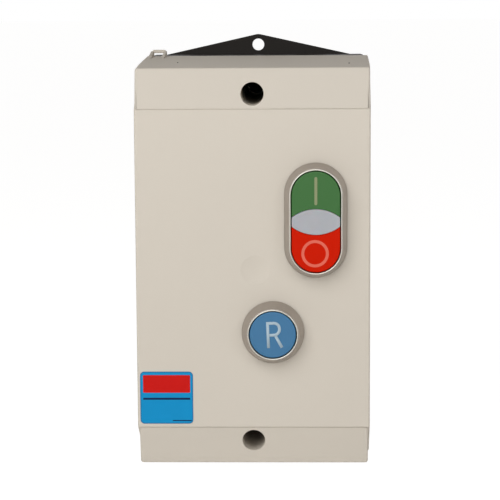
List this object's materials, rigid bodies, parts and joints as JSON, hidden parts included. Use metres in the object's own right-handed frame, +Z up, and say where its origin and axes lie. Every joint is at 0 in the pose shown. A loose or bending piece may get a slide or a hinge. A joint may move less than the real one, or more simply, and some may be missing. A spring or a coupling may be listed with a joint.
{
  "type": "enclosed motor starter",
  "caption": "Wall-mounted enclosed motor starter: light grey cover on a black base, twin START/STOP push-button with signal lens, round RESET push-button.",
  "frame": {"origin": "middle of the base's back face, in the plane of the wall", "axes": "+Z up along the enclosure's height, -Y out of the front with the push-buttons, +X to the right as seen from the front"},
  "size_m": [0.12, 0.1692, 0.2224],
  "materials": {
    "black_case": "fine-textured black moulding",
    "grey_cover": "fine-textured light grey moulding",
    "seal_rubber": "matte",
    "zinc_steel": "zinc-plated",
    "blue_film": "printed film",
    "brass": "bare",
    "titanium_collar": "satin warm grey",
    "bright_ring": "polished",
    "black_polyamide": "moulded",
    "lens_plastic": "clear, slightly frosted",
    "green_cap": "satin",
    "red_cap": "satin",
    "blue_cap": "satin",
    "white_polyamide": "moulded",
    "spring_steel": "bright wire",
    "green_case": "moulded",
    "red_case": "moulded",
    "core_iron": "laminated iron",
    "enamelled_copper": "wound copper wire, taped",
    "copper": "silver-tipped copper",
    "bimetal": "rolled"
  },
  "bodies": {
    "enclosure": {"base": "black_case", "cover": "grey_cover", "cover_gasket": "seal_rubber", "cover_screws": "zinc_steel", "screw_seals": "seal_rubber", "front_sticker": "blue_film", "mounting_rail": "zinc_steel", "rail_screws": "zinc_steel", "earth_terminal": "brass", "earth_screws": "zinc_steel", "twin_collar": "titanium_collar", "twin_bright_ring": "bright_ring", "twin_seal": "seal_rubber", "twin_barrel": "black_polyamide", "signal_lens": "lens_plastic", "start_spring": "spring_steel", "stop_spring": "spring_steel", "twin_nut": "zinc_steel", "block_adapter": "black_polyamide", "start_contact_block": "green_case", "stop_contact_block": "red_case", "block_contacts": "brass", "block_screws": "zinc_steel", "led_element": "white_polyamide", "reset_collar": "titanium_collar", "reset_bright_ring": "bright_ring", "reset_seal": "seal_rubber", "reset_barrel": "black_polyamide", "reset_spring": "spring_steel", "reset_nut": "zinc_steel", "contactor_foot": "black_polyamide", "contactor_housing": "black_polyamide", "fixed_core": "core_iron", "coil_former": "white_polyamide", "coil_winding": "enamelled_copper", "carrier_springs": "spring_steel", "pole_contacts": "copper", "pole_screws": "zinc_steel", "relay_housing": "black_polyamide", "relay_front": "black_polyamide", "bimetal_strips": "bimetal", "link_pins": "copper", "relay_terminals": "copper", "relay_screws": "zinc_steel"},
    "start_push": {"start_button": "green_cap", "start_plunger": "white_polyamide", "start_bridge": "brass"},
    "stop_push": {"stop_button": "red_cap", "stop_plunger": "white_polyamide", "stop_bridge": "brass"},
    "reset_push": {"reset_button": "blue_cap", "reset_rod": "white_polyamide"},
    "relay_reset_pin": {"relay_reset": "blue_cap"},
    "contact_slide": {"armature": "core_iron", "contact_carrier": "black_polyamide", "contact_bridges": "copper"},
    "dial": {"current_dial": "white_polyamide"},
    "test_pin": {"test_button": "red_cap"},
    "trip_bar": {"trip_slide": "white_polyamide"},
    "latch": {"rail_latch": "white_polyamide"}
  },
  "joints": [
    {"name": "start_press", "type": "slide", "parent": "enclosure", "child": "start_push", "axis": [0, 1, 0], "range_m": [0, 0.004], "stiffness_N_per_m": 600, "springref_m": -0.003, "deforming": ["start_spring"]},
    {"name": "stop_press", "type": "slide", "parent": "enclosure", "child": "stop_push", "axis": [0, 1, 0], "range_m": [0, 0.004], "stiffness_N_per_m": 600, "springref_m": -0.003, "deforming": ["stop_spring"]},
    {"name": "reset_press", "type": "slide", "parent": "enclosure", "child": "reset_push", "axis": [0, 1, 0], "range_m": [0, 0.004], "stiffness_N_per_m": 600, "springref_m": -0.003, "deforming": ["reset_spring"]},
    {"name": "relay_reset_press", "type": "slide", "parent": "enclosure", "child": "relay_reset_pin", "axis": [0, 1, 0], "range_m": [0, 0.004]},
    {"name": "contactor_pull", "type": "slide", "parent": "enclosure", "child": "contact_slide", "axis": [0, 1, 0], "range_m": [0, 0.005], "stiffness_N_per_m": 500, "springref_m": -0.004, "deforming": ["carrier_springs"]},
    {"name": "trip_shift", "type": "slide", "parent": "enclosure", "child": "trip_bar", "axis": [1, 0, 0], "range_m": [0, 0.002], "stiffness_N_per_m": 200, "springref_m": -0.001},
    {"name": "current_setting", "type": "hinge", "parent": "enclosure", "child": "dial", "pos_m": [-0.009, -0.0805, -0.032], "axis": [0, -1, 0], "range_deg": [-130, 130]},
    {"name": "test_press", "type": "slide", "parent": "enclosure", "child": "test_pin", "axis": [0, 1, 0], "range_m": [0, 0.002], "stiffness_N_per_m": 500, "springref_m": -0.002},
    {"name": "rail_latch_pull", "type": "slide", "parent": "enclosure", "child": "latch", "axis": [0, 0, -1], "range_m": [0, 0.0035], "stiffness_N_per_m": 600, "springref_m": -0.003}
  ],
  "couplings": [
    {"joint": "relay_reset_press", "follows": "reset_press", "ratio": 1}
  ]
}
